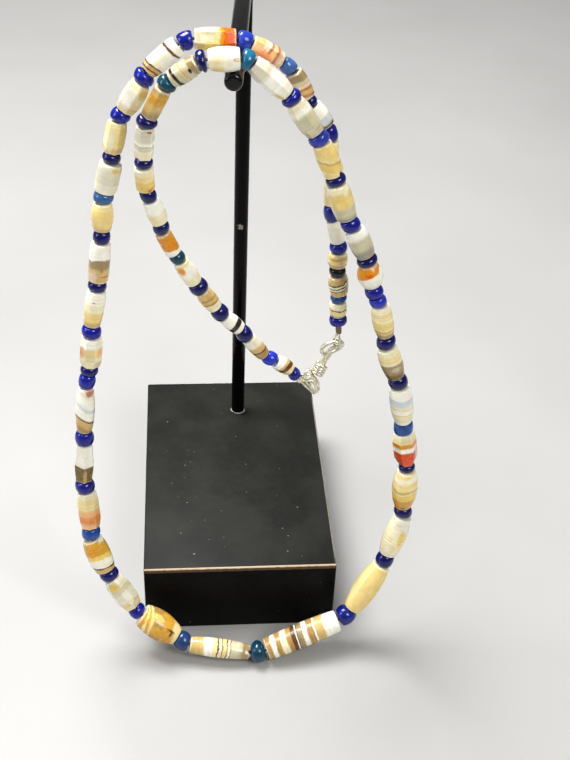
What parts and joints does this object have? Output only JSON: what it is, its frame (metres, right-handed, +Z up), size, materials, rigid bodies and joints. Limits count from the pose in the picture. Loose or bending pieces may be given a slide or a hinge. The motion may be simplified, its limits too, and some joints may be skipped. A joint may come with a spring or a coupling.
{
  "type": "agate bead necklace on a display stand",
  "caption": "Necklace of barrel-shaped banded agate beads with blue glass spacers and a silver wire hook clasp, wound twice over the peg of a plain black display stand.",
  "frame": {"origin": "middle of the base's underside, where the stand rests", "axes": "+Z up along the stand's rod, -Y towards the front where the necklace hangs, +X to the viewer's right"},
  "size_m": [0.1075, 0.1167, 0.2031],
  "materials": {
    "base_lacquer": "black lacquer, satin on top and glossy in front, worn at the edges",
    "black_rod": "gloss black",
    "thread": "brown beading thread",
    "silver": "polished silver wire",
    "blue_glass": "glossy dark blue and teal glass, nearly opaque",
    "agate_milk": "polished banded agate, milk",
    "agate_ivory": "polished banded agate, ivory",
    "agate_cream": "polished banded agate, cream",
    "agate_honey": "polished banded agate, honey",
    "agate_peach": "polished banded agate, peach",
    "agate_orange": "polished banded agate, orange",
    "agate_brown": "polished banded agate, brown",
    "agate_grey": "polished banded agate, grey"
  },
  "bodies": {
    "root": {"stand_base": "base_lacquer", "stand_rod": "black_rod", "stand_peg": "black_rod", "thread": "thread", "hook_clasp": "silver", "clasp_loop": "silver", "clasp_eyelet": "silver", "agate_bead_1": "agate_honey", "agate_bead_2": "agate_milk", "agate_bead_3": "agate_orange", "agate_bead_4": "agate_ivory", "agate_bead_5": "agate_ivory", "agate_bead_6": "agate_grey", "agate_bead_7": "agate_honey", "agate_bead_8": "agate_grey", "agate_bead_9": "agate_milk", "agate_bead_10": "agate_milk", "agate_bead_11": "agate_grey", "agate_bead_12": "agate_honey", "agate_bead_13": "agate_ivory", "agate_bead_14": "agate_grey", "agate_bead_15": "agate_orange", "agate_bead_16": "agate_ivory", "agate_bead_17": "agate_cream", "agate_bead_18": "agate_milk", "agate_bead_19": "agate_peach", "agate_bead_20": "agate_honey", "agate_bead_21": "agate_ivory", "agate_bead_22": "agate_cream", "agate_bead_23": "agate_brown", "agate_bead_24": "agate_cream", "agate_bead_25": "agate_honey", "agate_bead_26": "agate_grey", "agate_bead_27": "agate_honey", "agate_bead_28": "agate_peach", "agate_bead_29": "agate_cream", "agate_bead_30": "agate_milk", "agate_bead_31": "agate_peach", "agate_bead_32": "agate_ivory", "agate_bead_33": "agate_grey", "agate_bead_34": "agate_cream", "agate_bead_35": "agate_grey", "agate_bead_36": "agate_cream", "agate_bead_37": "agate_honey", "agate_bead_38": "agate_milk", "agate_bead_39": "agate_peach", "agate_bead_40": "agate_peach", "clasp_end_agates": "agate_cream", "glass_beads_outer_loop": "blue_glass", "glass_beads_inner_loop": "blue_glass"}
  },
  "joints": []
}
